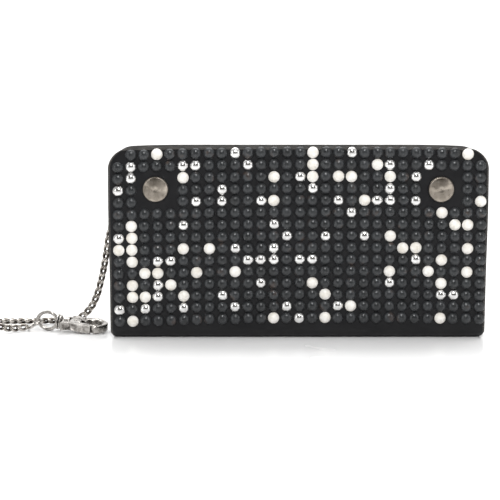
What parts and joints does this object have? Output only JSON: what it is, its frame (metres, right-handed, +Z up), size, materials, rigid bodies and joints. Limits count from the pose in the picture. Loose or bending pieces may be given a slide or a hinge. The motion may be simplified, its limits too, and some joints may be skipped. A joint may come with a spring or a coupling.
{
  "type": "chain wallet",
  "caption": "Long bifold leather wallet with domed studs on its cover, two snaps, card panels, a zip coin pocket, a chain on a ring and a swivel clasp.",
  "frame": {"origin": "under the middle of the wallet, chain and clasp left out, on the surface it stands on", "axes": "+X along the wallet to the right seen from the studded front, +Y from the front cover to the back cover, +Z up"},
  "size_m": [0.3147, 0.0585, 0.1],
  "materials": {
    "black_leather": "smooth, satin, faint grain",
    "inner_leather": "thin matt leather",
    "pocket_cloth": "black cotton lining",
    "zip_tape": "woven tape",
    "zip_metal": "antique nickel plated",
    "antique_nickel": "warm grey, finely brushed",
    "black_stud": "gloss black lacquer",
    "silver_stud": "mirror",
    "white_stud": "pearl white lacquer",
    "aged_silver": "polished, dark in the hollows",
    "spring_steel": "bright"
  },
  "bodies": {
    "back_half": {"back_cover": "black_leather", "fold_leather": "black_leather", "fold_lining": "inner_leather", "back_lining": "inner_leather", "bill_divider": "inner_leather", "coin_pocket_bag": "pocket_cloth", "coin_pocket_face": "inner_leather", "zip_tapes": "zip_tape", "zip_teeth": "zip_metal", "zip_stops": "zip_metal", "snap_studs": "antique_nickel", "snap_posts": "antique_nickel", "ring_tab": "black_leather", "tab_rivet": "antique_nickel", "chain_run_a": "aged_silver", "chain_coil": "aged_silver", "chain_run_b": "aged_silver", "clasp_eye": "aged_silver", "eye_ring": "aged_silver"},
    "front_half": {"front_cover": "black_leather", "front_lining": "inner_leather", "card_panel_1": "inner_leather", "card_panel_2": "inner_leather", "card_panel_3": "inner_leather", "card_panel_4": "inner_leather", "snap_caps": "antique_nickel", "snap_sockets": "antique_nickel", "black_studs": "black_stud", "silver_studs": "silver_stud", "white_studs": "white_stud"},
    "zip_slider": {"zip_slider": "zip_metal", "zip_pull_rivet": "zip_metal"},
    "zip_pull": {"zip_pull": "zip_metal"},
    "ring": {"d_ring": "aged_silver", "wallet_link": "aged_silver"},
    "clasp_hook": {"clasp_body": "aged_silver", "clasp_pin": "aged_silver", "clasp_spring": "spring_steel"},
    "clasp_lever": {"clasp_lever": "aged_silver"}
  },
  "joints": [
    {"name": "cover_fold", "type": "hinge", "parent": "back_half", "child": "front_half", "pos_m": [0, -0.0015, 0.0025], "axis": [1, 0, 0], "range_deg": [0, 180], "deforming": ["fold_leather", "fold_lining"]},
    {"name": "zip_slide", "type": "slide", "parent": "back_half", "child": "zip_slider", "axis": [-1, 0, 0], "range_m": [0, 0.106]},
    {"name": "pull_swing", "type": "hinge", "parent": "zip_slider", "child": "zip_pull", "pos_m": [0.053, -0.0073, 0.0865], "axis": [0, 1, 0], "range_deg": [-35, 35]},
    {"name": "ring_swing", "type": "hinge", "parent": "back_half", "child": "ring", "pos_m": [-0.091, 0.013, 0.072], "axis": [1, 0, 0], "range_deg": [0, 110]},
    {"name": "clasp_swivel", "type": "hinge", "parent": "back_half", "child": "clasp_hook", "pos_m": [-0.11842, 0.00349, 0.00429], "axis": [0.9857, -0.1385, -0.0958], "continuous": true},
    {"name": "lever_press", "type": "hinge", "parent": "clasp_hook", "child": "clasp_lever", "pos_m": [-0.11842, 0.00349, 0.00429], "axis": [0.0772, -0.1339, 0.988], "range_deg": [0, 22], "stiffness_Nm_per_rad": 0.02, "springref_deg": -28.65, "deforming": ["clasp_spring"]}
  ]
}
